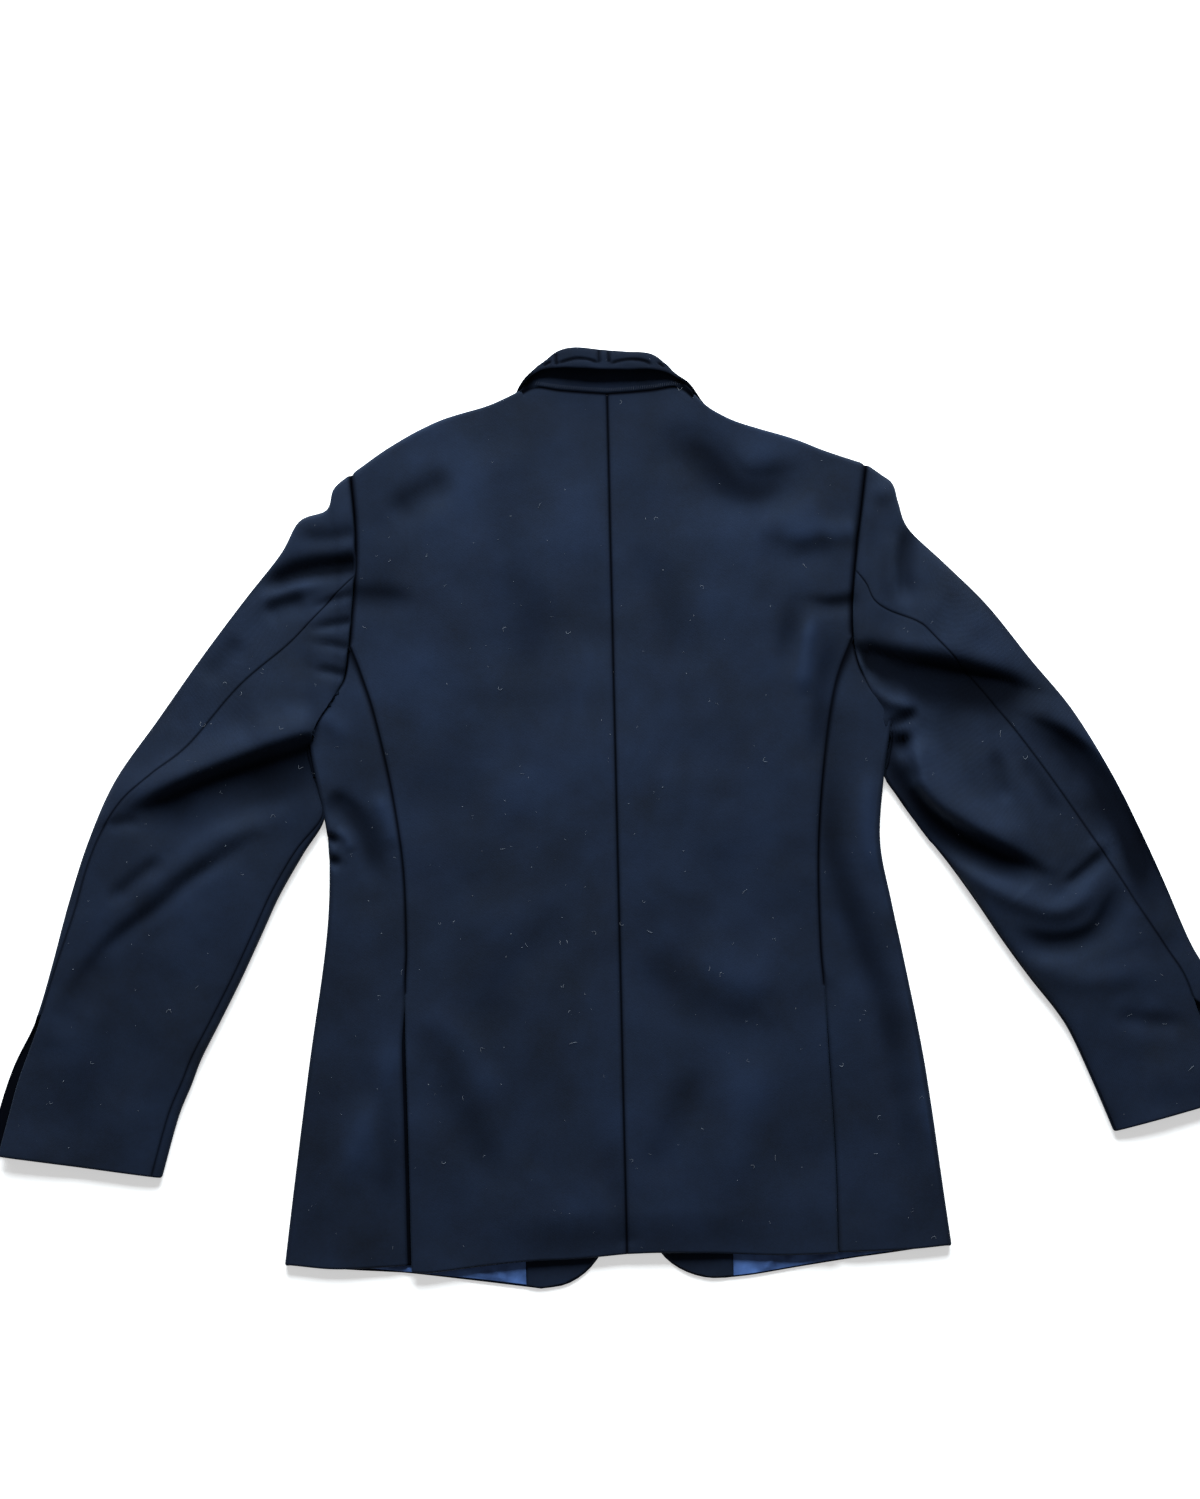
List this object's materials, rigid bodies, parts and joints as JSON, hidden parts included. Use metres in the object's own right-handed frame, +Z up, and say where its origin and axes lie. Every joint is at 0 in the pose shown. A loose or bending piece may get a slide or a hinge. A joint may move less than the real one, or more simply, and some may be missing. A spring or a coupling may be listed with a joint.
{
  "type": "blazer",
  "caption": "Tailored single-breasted blazer laid flat face down, sleeves spread, with side vents, turned collar, notch lapels and a curved front hem.",
  "frame": {"origin": "on the surface it lies on, under the middle of the whole garment's box", "axes": "+X towards the wearer's right sleeve, +Y towards the collar, +Z up, out of the garment's back"},
  "size_m": [1.1022, 0.8072, 0.0345],
  "materials": {
    "wool": "navy worsted wool, matt with a soft nap",
    "lining": "blue satin lining",
    "horn": "dark polished horn-look button"
  },
  "bodies": {
    "root": {"back_left": "wool", "back_right": "wool", "button_lower": "horn", "button_upper": "horn", "collar_leaf": "wool", "collar_stand": "wool", "facing_left": "wool", "facing_right": "wool", "front_left": "wool", "front_right": "wool", "lapel_left": "wool", "lapel_right": "wool", "lining_left": "lining", "lining_right": "lining", "side_left": "wool", "side_right": "wool", "top_sleeve_left": "wool", "top_sleeve_right": "wool", "under_sleeve_left": "wool", "under_sleeve_right": "wool"}
  },
  "joints": []
}
